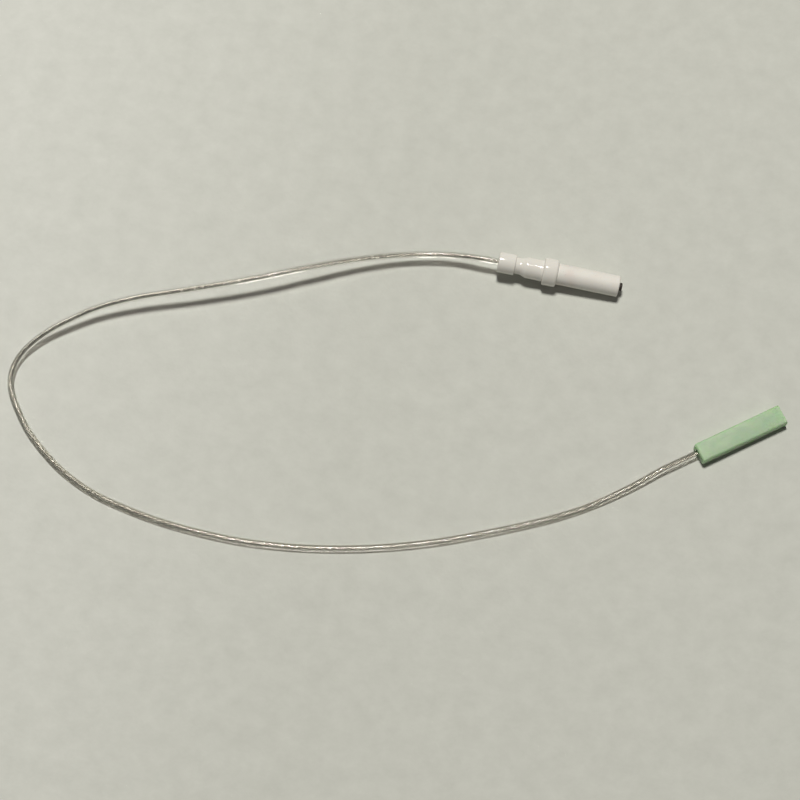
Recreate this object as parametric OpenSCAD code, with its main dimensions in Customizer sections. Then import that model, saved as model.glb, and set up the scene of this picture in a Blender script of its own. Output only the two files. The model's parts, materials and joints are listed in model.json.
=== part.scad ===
/* [Ceramic body] */
// Length of the ceramic body from its rear face to its front face
ceramic_len = 41.5; // [40:0.5:45]
// Diameter of the glazed neck behind the clip groove
neck_d = 7.0; // [6.6:0.1:7.2]
// Diameter at the floor of the clip groove
groove_d = 5.6; // [5:0.1:6]
// Diameter of the glazed middle and of the bare nose
nose_d = 7.2; // [7:0.1:7.6]
// Diameter of the collar that seats on the bracket
collar_d = 9.4; // [9:0.1:10]
// Distance from the rear face to the clip groove
groove_start = 5.8; // [5:0.1:6.5]
// Width of the groove's flat floor
groove_len = 2.1; // [1.5:0.1:2.5]
// Distance from the rear face to the collar
collar_start = 15.4; // [14:0.1:16]
// Width of the collar
collar_len = 4.9; // [4:0.1:5.5]

/* [Electrode] */
// Diameter of the electrode rod
rod_d = 1.6; // [1.2:0.1:1.7]
// Diameter of the nail head
head_d = 2.7; // [2.2:0.1:3.2]
// How far the nail head stands out of the front face
head_len = 1.1; // [0.6:0.1:2]

/* [Lead] */
// Outer diameter of the clear sheath
lead_d = 2.1; // [1.8:0.05:2.1]
// Diameter of one strand of the conductor
strand_d = 0.32; // [0.25:0.01:0.32]
// Length of the crimp ferrule that joins the lead to the rod
ferrule_len = 8.4; // [7.5:0.1:9]
// Outer diameter of the crimp ferrule
ferrule_d = 2.4; // [2.1:0.1:3]

/* [Push-on terminal] */
// Width over the two curls of the receptacle
barrel_w = 3.6; // [3.4:0.1:3.7]
// Length of the receptacle
barrel_len = 7.4; // [6:0.1:8]
// Thickness of the terminal's sheet metal
sheet_t = 0.35; // [0.3:0.01:0.4]

/* [Insulating boot] */
// Length of the boot
boot_len = 31.4; // [31:0.1:34]
// Width of the boot
boot_w = 6.8; // [6.2:0.1:7]
// Height of the boot
boot_h = 4.2; // [4.2:0.1:5.5]
// Thickness of the boot's long walls
boot_wall = 0.6; // [0.5:0.05:0.6]
// Thickness of the boot's closed end, where the lead goes in
boot_end = 1.5; // [1:0.1:2]
// Diameter of the lead hole in the closed end
boot_hole_d = 2.3; // [2.25:0.05:2.5]

/* [Hidden] */
strand_count = 7;
$fn = 64;
eps = 0.02;

// Ceramic body: lengths along the axis are counted from its rear face
ramp_len = 1.7;
neck_round = 0.4;
collar_round = 0.7;
nose_round = 0.5;
pocket_d = 3.4;
pocket_len = 18;
bore_d = 1.8;
cement_d = 3.2;
cement_len = 2;
collar_end = collar_start + collar_len;

// The probe lies on the table on the collar's front edge and the nose's front edge
collar_contact = collar_end - collar_round;
nose_contact = ceramic_len - nose_round;
lean = atan((collar_d - nose_d) / 2 / (nose_contact - collar_contact));
rear_x = -((ceramic_len + head_len) * cos(lean) - neck_d / 2 * sin(lean)) / 2;
rear_z = collar_contact * sin(lean) + collar_d / 2 * cos(lean);

// Joint between lead and rod: distances from the ceramic's rear face
sheath_in = 6;
ferrule_start = 8.6;
strand_end = 12.6;
rod_start = 13;
seal_start = 0.4;
seal_len = 3;
seal_gap = 0.05;
strand_gap = 0.005;
strand_bore_d = 3 * strand_d + 0.04;
crimp_dent = 0.25;

// Boot and terminal: distances along the boot from its closed end
boot_x = 55.75;
boot_y = -53.05;
boot_angle = 37;
boot_round = 0.5;
lead_side = 0.6;
sheath_end = 16.05;
grip_start = 13.2;
grip_len = 2.5;
crimp_start = 17.2;
crimp_len = 2.8;
strand_tip = 20.8;
barrel_start = 22;
curl_r = 0.8;
floor_z = -1;
crimp_r = 0.85;
grip_r = lead_d / 2 + sheet_t;
neck_w = 1.8;
seam_r = 0.2;
detent_d = 1.2;
detent_h = 0.2;

// Route of the lead's centreline, from inside the ceramic to inside the boot
lead_r = lead_d / 2;
rings_per_span = 2;
route = [
    [-15.2, 0, 5.4], [-21.2, 0, 5.7], [-27.2, 0, 5.6], [-34.1, -0.1, 4.8],
    [-42.1, -1, 4.4], [-54.2, -3.8, 4.7], [-68.3, -8.7, 5.9], [-84.3, -15.7, 7.4],
    [-100.4, -23, 8], [-118.5, -30.1, 7.6], [-136.7, -36.7, 6.9], [-148.8, -42.3, 6],
    [-156.9, -47.6, 5], [-164, -53.2, 4], [-169.6, -59.4, 2.9], [-172.6, -65.1, 2],
    [-173.3, -70.4, 1.4], [-172.1, -75.4, 1.05], [-168.4, -81.4, 1.05], [-162.6, -88.5, 1.05],
    [-154.7, -95.2, 1.05], [-146.8, -100.3, 1.05], [-136.8, -104.7, 1.05], [-125.9, -107.5, 1.05],
    [-113.9, -109.6, 1.05], [-99.9, -110.8, 1.05], [-83.9, -111, 1.05], [-65.9, -109.3, 1.05],
    [-48.9, -106.2, 1.05], [-35.8, -102.8, 1.05], [-22.7, -98.6, 1.05], [-9.6, -93.4, 1.05],
    [2.5, -88.2, 1.05], [13.6, -82.9, 1.05], [24.7, -76.4, 1.05], [35.3, -68.6, 1.6],
    [43.8, -61.4, 2], [47.1, -58.8, 2.1], [55.4, -52.56, 2.1], [68.2, -42.92, 2.1]
];
spans = len(route) - 1;
ring_sides = 8;
ring_count = spans * rings_per_span + 1;

// Points of an arc in the plane, with its ends
function arc(centre, r, from, to, steps = 6) =
    [for (i = [0:steps]) let (a = from + (to - from) * i / steps) centre + r * [cos(a), sin(a)]];

function unit(v) = v / norm(v);

// Route point i, carried on in a straight line past either end
function route_point(i) =
    i < 0 ? 2 * route[0] - route[1]
    : i > spans ? 2 * route[spans] - route[spans - 1]
    : route[i];

// Smooth curve through route points a, b, c and d, at t of the way from b to c
function between(a, b, c, d, t) =
    (2 * b + (c - a) * t + (2 * a - 5 * b + 4 * c - d) * t * t + (3 * b - a - 3 * c + d) * t * t * t) / 2;

function curve_point(i, t) =
    between(route_point(i - 1), route_point(i), route_point(i + 1), route_point(i + 2), t);

// The lead never dips below the table it lies on
function on_table(p) = [p[0], p[1], max(p[2], lead_r)];

function centre_point(k) =
    let (i = min(floor(k / rings_per_span), spans - 1))
    on_table(curve_point(i, k / rings_per_span - i));

function ring_direction(k) =
    unit(centre_point(min(k + 1, ring_count - 1)) - centre_point(max(k - 1, 0)));

// One ring of the sheath, with a corner straight below the centreline
function ring(k) =
    let (t = ring_direction(k), side = unit(cross(t, [0, 0, 1])), up = cross(side, t))
    [for (j = [0:ring_sides - 1]) let (a = 360 * j / ring_sides - 90)
        centre_point(k) + lead_r * (cos(a) * side + sin(a) * up)];

// Puts a shape drawn along +X from the ceramic's rear face where the probe lies
module on_probe() {
    translate([rear_x, 0, rear_z]) rotate([0, lean, 0]) children();
}

// Turns a shape drawn around Z so that its axis runs along +X
module along_x(start = 0) {
    translate([start, 0, 0]) rotate([0, 90, 0]) children();
}

// Puts a shape drawn along +X from the boot's closed end where the boot lies
module at_boot() {
    translate([boot_x, boot_y, 0]) rotate([0, 0, boot_angle]) children();
}

// The same, on the line of the lead inside the boot
module on_boot_lead() {
    at_boot() translate([0, lead_side, boot_h / 2]) children();
}

// Extrudes an outline in the YZ plane along +X
module bar(start, length) {
    translate([start, 0, 0]) rotate([90, 0, 90]) linear_extrude(length) children();
}

module tube(outer_d, inner_d, length) {
    difference() {
        cylinder(d = outer_d, h = length);
        translate([0, 0, -eps]) cylinder(d = inner_d, h = length + 2 * eps);
    }
}

// Alumina body with its clip groove, collar and nose, bored through in three steps
module ceramic_body() {
    color("white") on_probe() along_x() rotate_extrude($fn = 96) polygon(concat(
        [[pocket_d / 2, 0]],
        arc([neck_d / 2 - neck_round, neck_round], neck_round, -90, 0),
        [
            [neck_d / 2, groove_start],
            [groove_d / 2, groove_start],
            [groove_d / 2, groove_start + groove_len],
            [nose_d / 2, groove_start + groove_len + ramp_len],
            [nose_d / 2, collar_start]
        ],
        arc([collar_d / 2 - collar_round, collar_start + collar_round], collar_round, -90, 0),
        arc([collar_d / 2 - collar_round, collar_end - collar_round], collar_round, 0, 90),
        [[nose_d / 2, collar_end]],
        arc([nose_d / 2 - nose_round, ceramic_len - nose_round], nose_round, 0, 90),
        [
            [cement_d / 2, ceramic_len],
            [cement_d / 2, ceramic_len - cement_len],
            [bore_d / 2, ceramic_len - cement_len],
            [bore_d / 2, pocket_len],
            [pocket_d / 2, pocket_len]
        ]
    ));
}

// One headed rod: its nail head is the sensing tip, its tail sits in the ferrule
module electrode_pin() {
    head_round = 0.35;
    color("dimgray") on_probe() along_x() rotate_extrude() polygon(concat(
        [[0, rod_start], [rod_d / 2, rod_start], [rod_d / 2, ceramic_len], [head_d / 2, ceramic_len]],
        arc([head_d / 2 - head_round, ceramic_len + head_len - head_round], head_round, 0, 90),
        [[0, ceramic_len + head_len]]
    ));
}

// Ring of cement that fills the pocket round the rod behind the nail head
module front_cement() {
    color("gainsboro") on_probe() along_x(ceramic_len - cement_len)
        tube(cement_d, rod_d, cement_len - eps);
}

// Tin-plated tube crimped on the strands at one end and on the rod at the other
module crimp_ferrule() {
    step = (strand_end + rod_start) / 2;
    dent_r = 1.2;
    color("silver") on_probe() difference() {
        along_x(ferrule_start) cylinder(d = ferrule_d, h = ferrule_len);
        along_x(ferrule_start - eps) cylinder(d = strand_bore_d, h = step - ferrule_start + eps);
        along_x(step - eps) cylinder(d = rod_d, h = ferrule_len);
        for (x = [ferrule_start + 2, ferrule_start + ferrule_len - 2], side = [-1, 1])
            translate([x, side * (ferrule_d / 2 + dent_r - crimp_dent), 0]) sphere(r = dent_r);
    }
}

// Silicone ring that closes the ceramic's rear mouth round the sheath
module rear_seal() {
    lip = 0.2;
    color("whitesmoke") on_probe() along_x(seal_start) rotate_extrude() polygon([
        [lead_r + seal_gap, -lip],
        [pocket_d / 2, lip],
        [pocket_d / 2, seal_len],
        [lead_r + seal_gap, seal_len]
    ]);
}

// Bare end of one strand: six lie round the seventh
module strand(i, start, end) {
    ring_r = i < strand_count ? strand_d + strand_gap : 0;
    color("lightgray") rotate([i * 360 / (strand_count - 1), 0, 0]) translate([0, ring_r, 0])
        along_x(start) cylinder(d = strand_d, h = end - start);
}

// Clear-sheathed stranded lead, as one swept tube
module lead_cable() {
    last = (ring_count - 1) * ring_sides;
    color("ivory") polyhedron(
        points = [for (k = [0:ring_count - 1]) each ring(k)],
        faces = concat(
            [[for (j = [0:ring_sides - 1]) j]],
            [[for (j = [ring_sides - 1:-1:0]) last + j]],
            [for (k = [0:ring_count - 2], j = [0:ring_sides - 1])
                let (a = k * ring_sides + j, b = k * ring_sides + (j + 1) % ring_sides)
                [a, a + ring_sides, b + ring_sides, b]]
        )
    );
}

// Cross-section of the receptacle: a flat floor with both edges curled over it
module curl_outline() {
    centre = [barrel_w / 2 - curl_r, floor_z + curl_r];
    right = concat(arc(centre, curl_r, -90, 180, 12), arc(centre, curl_r - sheet_t, 180, -90, 12));
    left = [for (i = [len(right) - 1:-1:0]) [-right[i][0], right[i][1]]];
    polygon(concat(right, left));
}

// Flat strip of the terminal's floor between two of its barrels
module floor_strip(start, end, z) {
    translate([start, -neck_w / 2, z]) cube([end - start, neck_w, sheet_t]);
}

// One stamped brass piece: receptacle, wire crimp and sheath grip
module push_on_terminal() {
    lower_floor_z = 0.1 - grip_r;
    web_t = 0.6;
    color("khaki") on_boot_lead() {
        difference() {
            union() {
                bar(barrel_start, barrel_len) curl_outline();
                floor_strip(crimp_start, barrel_start + eps, floor_z);
                floor_strip(grip_start + grip_len / 2, crimp_start + web_t, lower_floor_z);
                translate([crimp_start, -neck_w / 2, lower_floor_z]) cube([web_t, neck_w, web_t]);
                along_x(crimp_start) cylinder(r = crimp_r, h = crimp_len);
                along_x(grip_start) cylinder(r = grip_r, h = grip_len);
            }
            along_x(crimp_start - eps) cylinder(d = strand_bore_d, h = crimp_len + 2 * eps);
            along_x(grip_start - eps) cylinder(r = lead_r + eps, h = sheath_end - grip_start + 2 * eps);
            translate([0, 0, crimp_r]) along_x(crimp_start - eps) cylinder(r = seam_r, h = crimp_len + 2 * eps);
            translate([0, 0, grip_r]) along_x(grip_start - eps) cylinder(r = seam_r, h = grip_len + 2 * eps);
        }
        translate([barrel_start + barrel_len / 2, 0, floor_z + sheet_t - eps])
            cylinder(r1 = detent_d / 2, r2 = detent_d / 4, h = detent_h);
    }
}

module rounded_outline(w, h, r) {
    translate([-w / 2 + r, 0]) square([w - 2 * r, h]);
    translate([-w / 2, r]) square([w, h - 2 * r]);
    for (x = [-w / 2 + r, w / 2 - r], y = [r, h - r]) translate([x, y]) circle(r = r);
}

// Soft green sleeve over the terminal, open in front, with a lead hole behind
module insulating_boot() {
    color("darkseagreen") at_boot() difference() {
        bar(0, boot_len) rounded_outline(boot_w, boot_h, boot_round);
        translate([boot_end, -boot_w / 2 + boot_wall, boot_wall])
            cube([boot_len, boot_w - 2 * boot_wall, boot_h - 2 * boot_wall]);
        translate([-eps, lead_side, boot_h / 2]) along_x() cylinder(d = boot_hole_d, h = boot_end + 2 * eps);
    }
}

ceramic_body();
electrode_pin();
front_cement();
crimp_ferrule();
rear_seal();
for (i = [1:strand_count])
    on_probe() strand(i, sheath_in + eps, strand_end);
lead_cable();
for (i = [1:strand_count])
    on_boot_lead() strand(i, sheath_end, strand_tip);
push_on_terminal();
insulating_boot();
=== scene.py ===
import json
import math

import bpy
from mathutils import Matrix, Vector
from mathutils.kdtree import KDTree


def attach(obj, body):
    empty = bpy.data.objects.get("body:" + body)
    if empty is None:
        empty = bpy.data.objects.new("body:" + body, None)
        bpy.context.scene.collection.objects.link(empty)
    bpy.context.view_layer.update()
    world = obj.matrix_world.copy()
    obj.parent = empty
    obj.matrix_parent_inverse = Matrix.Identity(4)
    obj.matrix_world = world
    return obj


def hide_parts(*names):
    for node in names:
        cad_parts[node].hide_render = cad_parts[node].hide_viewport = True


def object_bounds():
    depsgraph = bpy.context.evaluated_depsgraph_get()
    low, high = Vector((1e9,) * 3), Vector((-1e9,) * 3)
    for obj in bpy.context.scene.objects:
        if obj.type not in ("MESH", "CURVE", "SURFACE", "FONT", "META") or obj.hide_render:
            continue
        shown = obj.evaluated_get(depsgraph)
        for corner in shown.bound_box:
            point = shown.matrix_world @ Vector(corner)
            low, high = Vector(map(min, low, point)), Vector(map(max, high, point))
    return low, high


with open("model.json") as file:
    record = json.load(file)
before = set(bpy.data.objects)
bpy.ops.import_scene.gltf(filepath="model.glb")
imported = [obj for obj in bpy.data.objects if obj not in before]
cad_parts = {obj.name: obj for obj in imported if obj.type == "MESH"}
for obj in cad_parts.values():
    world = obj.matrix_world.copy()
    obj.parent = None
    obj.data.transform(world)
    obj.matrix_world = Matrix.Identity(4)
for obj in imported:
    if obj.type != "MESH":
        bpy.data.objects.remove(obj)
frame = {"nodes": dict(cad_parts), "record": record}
cad_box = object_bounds()

# ---------------------------------------------------------------------------
# Camera
# It stands in front of the probe and looks down on the table through a long
# lens, so that the whole loop of the lead fits in. Colours are shown untoned.
# ---------------------------------------------------------------------------
bpy.ops.object.camera_add(
    location=(-0.0006, -0.2719, 0.6634),
    rotation=(math.radians(18.6), 0, math.radians(11.33)),
)
camera = bpy.context.object
camera.data.sensor_width = 36
camera.data.lens = 94.5
bpy.context.scene.camera = camera
bpy.context.scene.view_settings.view_transform = "Standard"

# ---------------------------------------------------------------------------
# Lead: clear sheath
# A clear fluoropolymer sheath drawn tight over the conductor, 2.1 mm across.
# It leaves the ceramic's rear face, loops over the table and enters the boot.
# ---------------------------------------------------------------------------
lead_d = 0.0021
sheath_step = 0.0010
touching = 1e-6
lead_route = [
    (-0.0152, 0, 0.0054), (-0.0212, 0, 0.0057), (-0.0272, 0, 0.0056), (-0.0341, -0.0001, 0.0048),
    (-0.0421, -0.001, 0.0044), (-0.0542, -0.0038, 0.0047), (-0.0683, -0.0087, 0.0059),
    (-0.0843, -0.0157, 0.0074), (-0.1004, -0.023, 0.008), (-0.1185, -0.0301, 0.0076),
    (-0.1367, -0.0367, 0.0069), (-0.1488, -0.0423, 0.006), (-0.1569, -0.0476, 0.005),
    (-0.164, -0.0532, 0.004), (-0.1696, -0.0594, 0.0029), (-0.1726, -0.0651, 0.002),
    (-0.1733, -0.0704, 0.0014), (-0.1721, -0.0754, 0.00105), (-0.1684, -0.0814, 0.00105),
    (-0.1626, -0.0885, 0.00105), (-0.1547, -0.0952, 0.00105), (-0.1468, -0.1003, 0.00105),
    (-0.1368, -0.1047, 0.00105), (-0.1259, -0.1075, 0.00105), (-0.1139, -0.1096, 0.00105),
    (-0.0999, -0.1108, 0.00105), (-0.0839, -0.111, 0.00105), (-0.0659, -0.1093, 0.00105),
    (-0.0489, -0.1062, 0.00105), (-0.0358, -0.1028, 0.00105), (-0.0227, -0.0986, 0.00105),
    (-0.0096, -0.0934, 0.00105), (0.0025, -0.0882, 0.00105), (0.0136, -0.0829, 0.00105),
    (0.0247, -0.0764, 0.00105), (0.0353, -0.0686, 0.0016), (0.0438, -0.0614, 0.002),
    (0.0471, -0.0588, 0.0021), (0.0554, -0.05256, 0.0021), (0.0682, -0.04292, 0.0021),
]


def between(a, b, c, d, t):
    """Smooth curve through a, b, c and d, at t of the way from b to c."""
    return (2 * b + (c - a) * t + (2 * a - 5 * b + 4 * c - d) * t**2 + (3 * b - a - 3 * c + d) * t**3) / 2


def smooth_line(route, step):
    """Points about a step apart on the curve through the route, none lower than the lead can lie."""
    spots = [Vector(spot) for spot in route]
    spots = [2 * spots[0] - spots[1], *spots, 2 * spots[-1] - spots[-2]]
    line = []
    for a, b, c, d in zip(spots, spots[1:], spots[2:], spots[3:]):
        count = math.ceil((c - b).length / step)
        line += [between(a, b, c, d, k / count) for k in range(count)]
    line.append(spots[-2])
    for spot in line:
        spot.z = max(spot.z, lead_d / 2)
    return line


def pick(piece):
    """Makes this the only selected piece, and the active one."""
    bpy.ops.object.select_all(action="DESELECT")
    piece.select_set(True)
    bpy.context.view_layer.objects.active = piece


def clean(piece, smooth_deg=35):
    """Closes the seams, turns every face outwards and shades the curved stretches smooth."""
    pick(piece)
    bpy.ops.object.mode_set(mode="EDIT")
    bpy.ops.mesh.select_all(action="SELECT")
    bpy.ops.mesh.remove_doubles(threshold=touching)
    bpy.ops.mesh.normals_make_consistent(inside=False)
    bpy.ops.object.mode_set(mode="OBJECT")
    bpy.ops.object.shade_smooth_by_angle(angle=math.radians(smooth_deg))


def swept(name, line, radius, roundness):
    """A round rod along the line, closed at both ends."""
    curve = bpy.data.curves.new(name, "CURVE")
    curve.dimensions = "3D"
    curve.bevel_depth = radius
    curve.bevel_resolution = roundness
    curve.use_fill_caps = True
    spline = curve.splines.new("POLY")
    spline.points.add(len(line) - 1)
    for point, spot in zip(spline.points, line):
        point.co = (*spot, 1)
    piece = bpy.data.objects.new(name, curve)
    bpy.context.scene.collection.objects.link(piece)
    pick(piece)
    bpy.ops.object.convert(target="MESH")
    clean(piece, 60)
    return piece


def material_of(name, **settings):
    """A new node material, with the shader's sockets set, and its tree."""
    material = bpy.data.materials.new(name)
    material.use_nodes = True
    shader = material.node_tree.nodes["Principled BSDF"]
    for socket, value in settings.items():
        shader.inputs[socket.replace("_", " ")].default_value = value
    return material, material.node_tree, shader


def node(tree, kind, **values):
    """A new shader node. A value that is a socket is linked, any other is set on the node's own input."""
    made = tree.nodes.new("ShaderNode" + kind)
    for key, value in values.items():
        target = made.inputs[int(key[1:])] if key[0] == "i" and key[1:].isdigit() else None
        if target is None and hasattr(made, key):
            setattr(made, key, value)
            continue
        target = target or made.inputs[key.replace("_", " ")]
        if isinstance(value, bpy.types.NodeSocket):
            tree.links.new(value, target)
        else:
            target.default_value = value
    return made


def noise(tree, where, scale, detail=3.0, roughness=0.5):
    """Cloudy noise from 0 to 1, on a vector socket."""
    made = node(tree, "TexNoise", Vector=where, Scale=scale, Detail=detail, Roughness=roughness)
    return made.outputs["Fac"]


def ramp(tree, amount, low, high, start, end):
    """Takes amount from low..high to start..end, and no further."""
    made = node(tree, "MapRange", Value=amount, From_Min=low, From_Max=high, To_Min=start, To_Max=end)
    return made.outputs[0]


def blended(tree, amount, first, second):
    """The first colour where amount is 0, and the second where it is 1."""
    mix = node(tree, "Mix", data_type="RGBA")
    for socket, value in ((0, amount), (6, first), (7, second)):
        if isinstance(value, bpy.types.NodeSocket):
            tree.links.new(value, mix.inputs[socket])
        else:
            mix.inputs[socket].default_value = value if socket == 0 else (*value, 1)
    return mix.outputs[2]


def bumped(tree, shader, height, depth):
    """Raises the surface by up to depth metres where height is 1."""
    bump = node(tree, "Bump", Height=height, Distance=depth, Strength=1.0)
    tree.links.new(bump.outputs["Normal"], shader.inputs["Normal"])


def clear_sheath():
    """Clear, glossy fluoropolymer, scuffed by handling. Lamps shine through it on to the wires."""
    material, tree, shader = material_of(
        "clear_sheath", Base_Color=(0.98, 0.975, 0.95, 1), Transmission_Weight=1.0, IOR=1.34
    )
    where = node(tree, "TexCoord").outputs["Object"]
    scuffs = noise(tree, where, 900, 4)
    tree.links.new(ramp(tree, scuffs, 0.45, 0.75, 0.03, 0.14), shader.inputs["Roughness"])
    bumped(tree, shader, noise(tree, where, 300, 2), 0.00001)
    lamp_side = node(tree, "BsdfTransparent", Color=(0.22, 0.20, 0.175, 1))
    mix = node(tree, "MixShader", i0=node(tree, "LightPath").outputs["Is Shadow Ray"],
               i1=shader.outputs[0], i2=lamp_side.outputs[0])
    tree.links.new(mix.outputs[0], tree.nodes["Material Output"].inputs["Surface"])
    return material


lead_line = smooth_line(lead_route, sheath_step)
lead_sheath = swept("lead_sheath", lead_line, lead_d / 2, 12)
lead_sheath.data.materials.append(clear_sheath())
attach(lead_sheath, "probe")
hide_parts("lead_cable")

# ---------------------------------------------------------------------------
# Lead: conductor
# Seven tinned copper wires: one straight core, and six laid round it in a long
# left-hand twist. They are bare in the ferrule and in the terminal's crimp.
# ---------------------------------------------------------------------------
wire_d = 0.00032
wire_gap = 0.000022
wire_step = 0.0006
ring_count = 6
# how near the bundle's middle the wire surface gets painted shade, and how soft its edge is
painted_shade_r, painted_shade_edge = 0.00041, 0.00003
lay_length = 0.0157
mounts = {mount["name"]: mount for mount in frame["record"]["mounts"]}
probe_axis = Vector(mounts["nose"]["axis"])
terminal_axis = Vector(mounts["terminal_mouth"]["axis"])
bare_at_pin = 0.0066
bare_at_terminal = 0.0048


def tinned_wire():
    """Bright tin on drawn copper, with dull patches, and painted shade in the grooves of the bundle."""
    material, tree, shader = material_of("tinned_wire", Metallic=1.0)
    where = node(tree, "TexCoord").outputs["Object"]
    patches = noise(tree, where, 700, 3)
    tin = blended(tree, patches, (0.97, 0.98, 0.92), (0.84, 0.85, 0.79))
    off_middle = node(tree, "Attribute", attribute_name="off_middle").outputs["Fac"]
    # Painted shade: wire surface nearer the bundle's middle than painted_shade_r is coloured near-black,
    # standing in for the shade between the wires.
    unshaded = ramp(tree, off_middle, painted_shade_r, painted_shade_r + painted_shade_edge, 0, 1)
    tree.links.new(blended(tree, unshaded, (0.09, 0.085, 0.075), tin), shader.inputs["Base Color"])
    tree.links.new(ramp(tree, patches, 0.3, 0.7, 0.16, 0.30), shader.inputs["Roughness"])
    bumped(tree, shader, noise(tree, where, 1600, 3), 0.00006)
    return material


def twisted(line, ring_r, start_deg):
    """A line that winds round another at ring_r, one left-hand turn for each lay length."""
    side = Vector((0, 0, 1)).cross(line[1] - line[0]).normalized()
    run, wound = 0.0, []
    for i, spot in enumerate(line):
        ahead = (line[min(i + 1, len(line) - 1)] - line[max(i - 1, 0)]).normalized()
        side = (side - ahead * side.dot(ahead)).normalized()
        turn = math.radians(start_deg) - 2 * math.pi * run / lay_length
        wound.append(spot + ring_r * (math.cos(turn) * side + math.sin(turn) * ahead.cross(side)))
        run += (line[min(i + 1, len(line) - 1)] - spot).length
    return wound


wire_route = [
    Vector(lead_route[0]) + probe_axis * bare_at_pin, *lead_route,
    Vector(lead_route[-1]) + terminal_axis * bare_at_terminal,
]
wire_line = smooth_line(wire_route, wire_step)
near_line = KDTree(len(wire_line))
for place, spot in enumerate(wire_line):
    near_line.insert(spot, place)
near_line.balance()


def measure_grooves(wire):
    """Stores how far each point of a wire lies from the middle of the bundle, in metres."""
    off_middle = wire.data.attributes.new("off_middle", "FLOAT", "POINT")
    for corner, measured in zip(wire.data.vertices, off_middle.data):
        middle_spot, place, _ = near_line.find(corner.co)
        ahead = (wire_line[min(place + 1, len(wire_line) - 1)] - wire_line[max(place - 1, 0)]).normalized()
        away = corner.co - middle_spot
        measured.value = (away - ahead * away.dot(ahead)).length


wire_metal = tinned_wire()
for number in range(1, ring_count + 2):
    ring_r = wire_d + wire_gap if number <= ring_count else 0
    wire_path = twisted(wire_line, ring_r, number * 360 / ring_count)
    wire = swept(f"strand_{number}", wire_path, wire_d / 2, 2)
    measure_grooves(wire)
    wire.data.materials.append(wire_metal)
    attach(wire, "probe")
    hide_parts(f"strand_{number}_at_pin", f"strand_{number}_at_terminal")

# ---------------------------------------------------------------------------
# Ceramic body
# Pressed alumina, turned and fired: a neck with a clip groove, a collar that
# seats on the bracket and a long nose. It is glazed as far as the collar.
# ---------------------------------------------------------------------------
collar_front = 0.0203
nose_mount_x = 0.030
lean = math.asin(-probe_axis.z)
rear_face = Vector(mounts["nose"]["pos_m"]) - probe_axis * nose_mount_x
# distance from the rear face, radius, and how far the corner is rounded, in mm
ceramic_corners = [
    (0, 1.7, 0.2), (0, 3.5, 0.55), (5.8, 3.5, 0.3), (5.85, 2.8, 0.3), (7.9, 2.8, 0.45),
    (9.6, 3.6, 0.5), (15.4, 3.6, 0.35), (15.4, 4.7, 0.85), (20.3, 4.7, 0.85), (20.3, 3.6, 0.15),
    (41.5, 3.6, 0.55), (41.5, 1.6, 0.15), (39.5, 1.6, 0.1), (39.5, 0.9, 0.1), (18, 0.9, 0.1),
    (18, 1.7, 0.1),
]


def rounded_profile(corners, steps=5):
    """The closed outline through the corners, each rounded over its own distance along both sides."""
    outline = []
    for before, corner, after in zip([corners[-1], *corners], corners, [*corners[1:], corners[0]]):
        at, back, on = (Vector(spot[:2]) for spot in (corner, before, after))
        start = at + (back - at).normalized() * corner[2]
        end = at + (on - at).normalized() * corner[2]
        for k in range(steps + 1):
            t = k / steps
            outline.append(((1 - t) ** 2 * start + 2 * t * (1 - t) * at + t**2 * end) / 1000)
    return outline


def turned(name, outline, sides):
    """A ring at the outline's first point, extruded from point to point of it and back to the first."""
    bpy.ops.object.select_all(action="DESELECT")
    start_x, start_r = outline[0]
    bpy.ops.mesh.primitive_circle_add(
        vertices=sides, radius=start_r, location=(start_x, 0, 0), rotation=(0, math.pi / 2, 0)
    )
    piece = bpy.context.object
    piece.name = name
    bpy.ops.object.transform_apply()
    bpy.ops.object.mode_set(mode="EDIT")
    bpy.ops.mesh.select_mode(type="EDGE")
    bpy.ops.mesh.select_all(action="SELECT")
    for (x, r), (next_x, next_r) in zip(outline, [*outline[1:], outline[0]]):
        bpy.ops.mesh.extrude_edges_move(TRANSFORM_OT_translate={"value": (next_x - x, 0, 0)})
        bpy.ops.transform.resize(value=(1, next_r / r, next_r / r), center_override=(next_x, 0, 0))
    bpy.ops.object.mode_set(mode="OBJECT")
    return piece


def on_probe(piece):
    """Puts a piece drawn along +X from the origin on the probe's axis, from the ceramic's rear face."""
    pick(piece)
    piece.location = rear_face
    piece.rotation_euler = (0, lean, 0)
    bpy.ops.object.transform_apply()
    clean(piece)


def along_probe(tree):
    """Object coordinates turned so that X runs along the probe from the ceramic's rear face, in metres."""
    where = node(tree, "TexCoord").outputs["Object"]
    return node(tree, "Mapping", vector_type="TEXTURE", Vector=where, Location=rear_face,
                Rotation=(0, lean, 0)).outputs[0]


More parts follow.
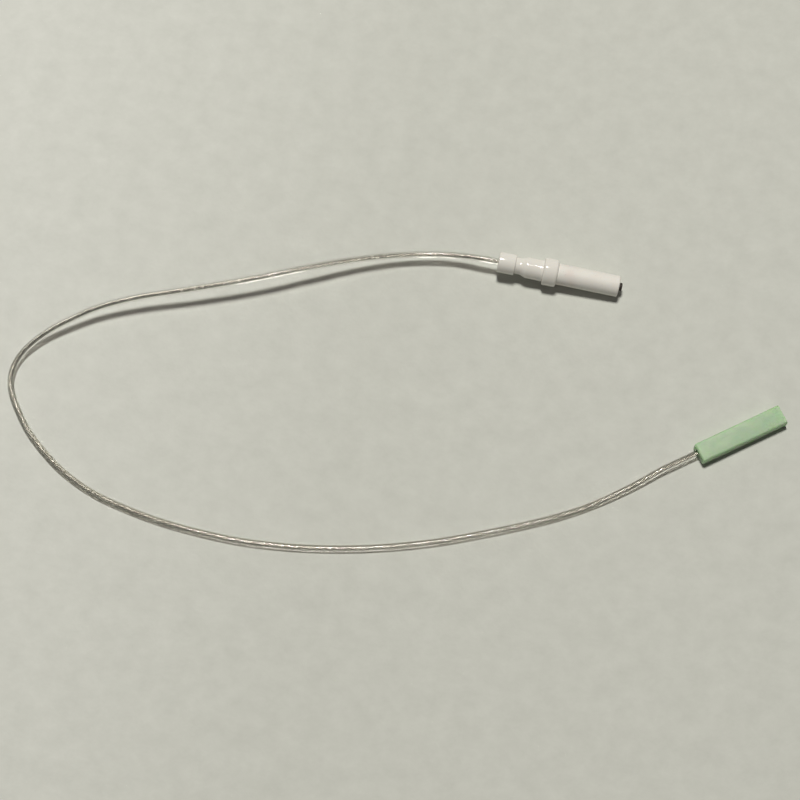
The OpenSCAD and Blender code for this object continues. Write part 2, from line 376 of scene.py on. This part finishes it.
def fired_ceramic():
    """White alumina: glazed up to the collar's front, then bare, with a warm stain near the collar."""
    material, tree, shader = material_of(
        "fired_ceramic", Subsurface_Weight=0.1, Subsurface_Radius=(1.0, 0.8, 0.6), Subsurface_Scale=0.0005
    )
    where = along_probe(tree)
    along = node(tree, "SeparateXYZ", Vector=where).outputs["X"]
    bare = ramp(tree, along, collar_front - 0.0003, collar_front + 0.0003, 0, 1)
    clouds = noise(tree, where, 260, 4)
    specks = noise(tree, where, 2200, 2)
    glaze = blended(tree, clouds, (0.87, 0.86, 0.81), (0.84, 0.83, 0.78))
    stain = node(tree, "Math", operation="MULTIPLY", i0=ramp(tree, clouds, 0.38, 0.62, 0, 1),
                 i1=ramp(tree, along, collar_front + 0.009, collar_front + 0.002, 0.25, 1)).outputs[0]
    nose = blended(tree, stain, (0.865, 0.86, 0.81), (0.83, 0.775, 0.725))
    nose = blended(tree, ramp(tree, specks, 0.66, 0.72, 0, 0.35), nose, (0.55, 0.50, 0.46))
    tree.links.new(blended(tree, bare, glaze, nose), shader.inputs["Base Color"])
    tree.links.new(ramp(tree, bare, 0, 1, 0.09, 0.62), shader.inputs["Roughness"])
    coarse = ramp(tree, bare, 0, 1, 0.15, 1)
    grain = node(tree, "Math", operation="MULTIPLY", i0=specks, i1=coarse).outputs[0]
    bumped(tree, shader, grain, 0.00003)
    return material


ceramic = turned("ceramic_body_fired", rounded_profile(ceramic_corners), 96)
on_probe(ceramic)
ceramic.data.materials.append(fired_ceramic())
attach(ceramic, "probe")
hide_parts("ceramic_body")

# ---------------------------------------------------------------------------
# Electrode pin and its cement
# A rod of heat-proof alloy runs down the ceramic, and its upset head closes the
# nose. The head has gone black with scale, and a ring of grey cement beds it in.
# ---------------------------------------------------------------------------
def scaled_alloy():
    """Iron-chrome alloy under dark scale, which has chipped back to the metal in small spots."""
    material, tree, shader = material_of("scaled_alloy")
    where = along_probe(tree)
    scale = noise(tree, where, 1800, 5, 0.6)
    chipped = ramp(tree, noise(tree, where, 3600, 3), 0.62, 0.70, 0, 1)
    dark = blended(tree, scale, (0.016, 0.014, 0.013), (0.060, 0.045, 0.036))
    tree.links.new(blended(tree, chipped, dark, (0.22, 0.20, 0.18)), shader.inputs["Base Color"])
    tree.links.new(ramp(tree, chipped, 0, 1, 0.35, 1), shader.inputs["Metallic"])
    tree.links.new(ramp(tree, scale, 0.3, 0.7, 0.72, 0.48), shader.inputs["Roughness"])
    bumped(tree, shader, scale, 0.00004)
    return material


def set_cement():
    """Grey refractory cement: sandy grains, scorched darker in patches."""
    material, tree, shader = material_of("set_cement")
    where = along_probe(tree)
    grains = noise(tree, where, 4200, 4, 0.7)
    sandy = blended(tree, ramp(tree, grains, 0.35, 0.65, 0, 1), (0.42, 0.39, 0.33), (0.66, 0.63, 0.56))
    scorched = ramp(tree, noise(tree, where, 900, 2), 0.5, 0.7, 0, 0.7)
    tree.links.new(blended(tree, scorched, sandy, (0.20, 0.17, 0.14)), shader.inputs["Base Color"])
    tree.links.new(ramp(tree, grains, 0.3, 0.7, 0.78, 0.95), shader.inputs["Roughness"])
    bumped(tree, shader, grains, 0.00008)
    return material


frame["nodes"]["electrode_pin"].material_slots[0].material = scaled_alloy()
frame["nodes"]["front_cement"].material_slots[0].material = set_cement()

# ---------------------------------------------------------------------------
# Crimp ferrule and rear seal
# Inside the neck, a plated ferrule crimps the wires to the pin. A plug of cream
# potting holds the sheath and closes the ceramic's rear.
# ---------------------------------------------------------------------------
def plated_ferrule():
    """Nickel plating over drawn brass, with fine draw lines along it and worn spots."""
    material, tree, shader = material_of("plated_ferrule", Metallic=1.0)
    where = along_probe(tree)
    stretched = node(tree, "Mapping", Vector=where, Scale=(0.08, 1, 1)).outputs[0]
    lines = noise(tree, stretched, 5200, 3)
    worn = ramp(tree, noise(tree, where, 1100, 3), 0.60, 0.72, 0, 1)
    plating = blended(tree, lines, (0.60, 0.58, 0.53), (0.74, 0.72, 0.67))
    tree.links.new(blended(tree, worn, plating, (0.70, 0.55, 0.30)), shader.inputs["Base Color"])
    tree.links.new(ramp(tree, lines, 0.3, 0.7, 0.24, 0.42), shader.inputs["Roughness"])
    bumped(tree, shader, lines, 0.00001)
    return material


def cream_potting():
    """Cream-coloured silicone potting with a slight skin, cloudy where it has set."""
    material, tree, shader = material_of(
        "cream_potting", Subsurface_Weight=0.3, Subsurface_Radius=(1.0, 0.8, 0.5), Subsurface_Scale=0.0004
    )
    where = along_probe(tree)
    clouds = noise(tree, where, 1300, 4)
    cream = blended(tree, clouds, (0.74, 0.70, 0.58), (0.80, 0.77, 0.68))
    tree.links.new(cream, shader.inputs["Base Color"])
    tree.links.new(ramp(tree, clouds, 0.3, 0.7, 0.28, 0.5), shader.inputs["Roughness"])
    bumped(tree, shader, noise(tree, where, 2600, 2), 0.00003)
    return material


frame["nodes"]["crimp_ferrule"].material_slots[0].material = plated_ferrule()
frame["nodes"]["rear_seal"].material_slots[0].material = cream_potting()

# ---------------------------------------------------------------------------
# Push-on terminal
# A receptacle stamped from tinned brass strip: rolled edges hold the tab, and
# two pairs of wings close on the wires and on the sheath.
# ---------------------------------------------------------------------------
def tinned_brass():
    """Tin on rolled brass: fine rolling lines, soft grey blooms, and scratches from the tab."""
    material, tree, shader = material_of("tinned_brass", Metallic=1.0)
    where = node(tree, "TexCoord").outputs["Object"]
    turned_to = node(tree, "Mapping", vector_type="TEXTURE", Vector=where,
                     Rotation=(0, 0, math.atan2(terminal_axis.y, terminal_axis.x))).outputs[0]
    lines = noise(tree, node(tree, "Mapping", Vector=turned_to, Scale=(0.05, 1, 1)).outputs[0], 6000, 3)
    bloom = noise(tree, where, 600, 4)
    tin = blended(tree, bloom, (0.66, 0.65, 0.61), (0.80, 0.79, 0.76))
    scratched = ramp(tree, lines, 0.66, 0.74, 0, 0.6)
    tree.links.new(blended(tree, scratched, tin, (0.72, 0.60, 0.38)), shader.inputs["Base Color"])
    tree.links.new(ramp(tree, bloom, 0.3, 0.7, 0.22, 0.46), shader.inputs["Roughness"])
    bumped(tree, shader, lines, 0.00001)
    return material


frame["nodes"]["push_on_terminal"].material_slots[0].material = tinned_brass()

# ---------------------------------------------------------------------------
# Insulating boot
# A soft green sleeve, moulded with thin walls and one closed end. It slides on
# the lead to cover the terminal, and is open in front for the tab.
# ---------------------------------------------------------------------------
boot_len, boot_w, boot_h = 0.0314, 0.0068, 0.0042
boot_wall, boot_end = 0.0006, 0.0015
boot_corner_r = 0.0007
boot_hole_d = 0.0023
mouth_from_rear = 0.0294
lead_side = 0.0006  # the lead enters this far off the boot's middle
boot_turn = math.atan2(terminal_axis.y, terminal_axis.x)
boot_side = Vector((-terminal_axis.y, terminal_axis.x, 0))
mouth = Vector(mounts["terminal_mouth"]["pos_m"])
boot_rear = mouth - terminal_axis * mouth_from_rear - boot_side * lead_side
boot_rear.z = 0


def select_faces(piece, wanted):
    """In edit mode, selects only the faces for which wanted(centre, normal) is true."""
    bpy.ops.mesh.select_mode(type="FACE")
    bpy.ops.mesh.select_all(action="DESELECT")
    bpy.ops.object.mode_set(mode="OBJECT")
    for face in piece.data.polygons:
        face.select = wanted(face.center, face.normal)
    bpy.ops.object.mode_set(mode="EDIT")


def boot_rubber():
    """Mint-green silicone that lets some light through, cloudy and dulled by handling."""
    material, tree, shader = material_of(
        "boot_rubber", Subsurface_Weight=1.0, Subsurface_Radius=(0.6, 1.0, 0.5), Subsurface_Scale=0.002
    )
    where = node(tree, "TexCoord").outputs["Object"]
    clouds = noise(tree, where, 330, 5, 0.6)
    rubbed = ramp(tree, noise(tree, where, 170, 3), 0.40, 0.66, 0, 0.8)
    mint = blended(tree, ramp(tree, clouds, 0.35, 0.65, 0, 1), (0.37, 0.55, 0.30), (0.385, 0.58, 0.39))
    tree.links.new(blended(tree, rubbed, mint, (0.44, 0.60, 0.40)), shader.inputs["Base Color"])
    tree.links.new(ramp(tree, clouds, 0.3, 0.7, 0.42, 0.58), shader.inputs["Roughness"])
    bumped(tree, shader, noise(tree, where, 1500, 3), 0.00003)
    return material


bpy.ops.object.select_all(action="DESELECT")
bpy.ops.mesh.primitive_cube_add(
    size=1, location=(boot_len / 2, 0, boot_h / 2), scale=(boot_len, boot_w, boot_h)
)
boot = bpy.context.object
boot.name = "boot_sleeve"
bpy.ops.object.transform_apply()
bpy.ops.object.mode_set(mode="EDIT")
bpy.ops.mesh.select_mode(type="EDGE")
bpy.ops.mesh.select_all(action="DESELECT")
bpy.ops.object.mode_set(mode="OBJECT")
for edge in boot.data.edges:
    a, b = (boot.data.vertices[k].co for k in edge.vertices)
    edge.select = min(a.x, b.x) <= boot_len - touching
bpy.ops.object.mode_set(mode="EDIT")
bpy.ops.mesh.bevel(offset=boot_corner_r, segments=6, affect="EDGES")
select_faces(boot, lambda centre, normal: normal.x > 0.99)
bpy.ops.mesh.inset(thickness=boot_wall)
bpy.ops.mesh.extrude_region_move(TRANSFORM_OT_translate={"value": (boot_end - boot_len, 0, 0)})
bpy.ops.object.mode_set(mode="OBJECT")
bpy.ops.mesh.primitive_cylinder_add(
    vertices=48, radius=boot_hole_d / 2, depth=3 * boot_end, location=(0, lead_side, boot_h / 2),
    rotation=(0, math.pi / 2, 0),
)
drill = bpy.context.object
pick(boot)
cut = boot.modifiers.new("lead_hole", "BOOLEAN")
cut.operation = "DIFFERENCE"
cut.solver = "EXACT"
cut.object = drill
bpy.ops.object.modifier_apply(modifier=cut.name)
bpy.data.objects.remove(drill)
boot.location = boot_rear
boot.rotation_euler = (0, 0, boot_turn)
pick(boot)
bpy.ops.object.transform_apply()
clean(boot)
boot.data.materials.append(boot_rubber())
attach(boot, "boot")
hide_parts("insulating_boot")

# ---------------------------------------------------------------------------
# Table and light
# A sheet of pale, faintly mottled paper, with painted light that makes it paler at the left. One lamp
# stands above and behind, and the room gives a weak fill.
# ---------------------------------------------------------------------------
paper_size = 3
bpy.ops.object.select_all(action="DESELECT")
bpy.ops.mesh.primitive_plane_add(size=paper_size)
paper = bpy.context.object
paper.name = "paper"
material, tree, shader = material_of("paper", Roughness=0.85)
where = node(tree, "TexCoord").outputs["Object"]
mottle = noise(tree, where, 130, 6, 0.65)
plain = blended(tree, mottle, (0.56, 0.58, 0.535), (0.71, 0.735, 0.685))
painted_light_paper = blended(tree, mottle, (0.645, 0.67, 0.626), (0.815, 0.84, 0.796))
across = node(tree, "SeparateXYZ", Vector=where).outputs["X"]
# Painted light: the paper grows paler towards the left, standing in for light that falls more brightly
# there.
painted_light_to_left = ramp(tree, across, -0.06, -0.20, 0, 1)
tree.links.new(blended(tree, painted_light_to_left, plain, painted_light_paper), shader.inputs["Base Color"])
bumped(tree, shader, noise(tree, where, 260, 4), 0.00015)
paper.data.materials.append(material)

middle = (cad_box[0] + cad_box[1]) / 2
key_from = Vector((-0.085, 0.308, 1)).normalized()
key_distance = 2.5
bpy.ops.object.light_add(type="AREA", location=middle + key_from * key_distance)
key = bpy.context.object
key.rotation_euler = key_from.to_track_quat("Z", "Y").to_euler()
key.data.shape = "DISK"
key.data.size = 0.5
key.data.energy = 50.8
key.data.color = (1.0, 0.965, 0.90)
world = bpy.data.worlds.new("room")
bpy.context.scene.world = world
world.use_nodes = True
world.node_tree.nodes["Background"].inputs["Color"].default_value = (1.0, 0.90, 0.90, 1)
world.node_tree.nodes["Background"].inputs["Strength"].default_value = 0.066
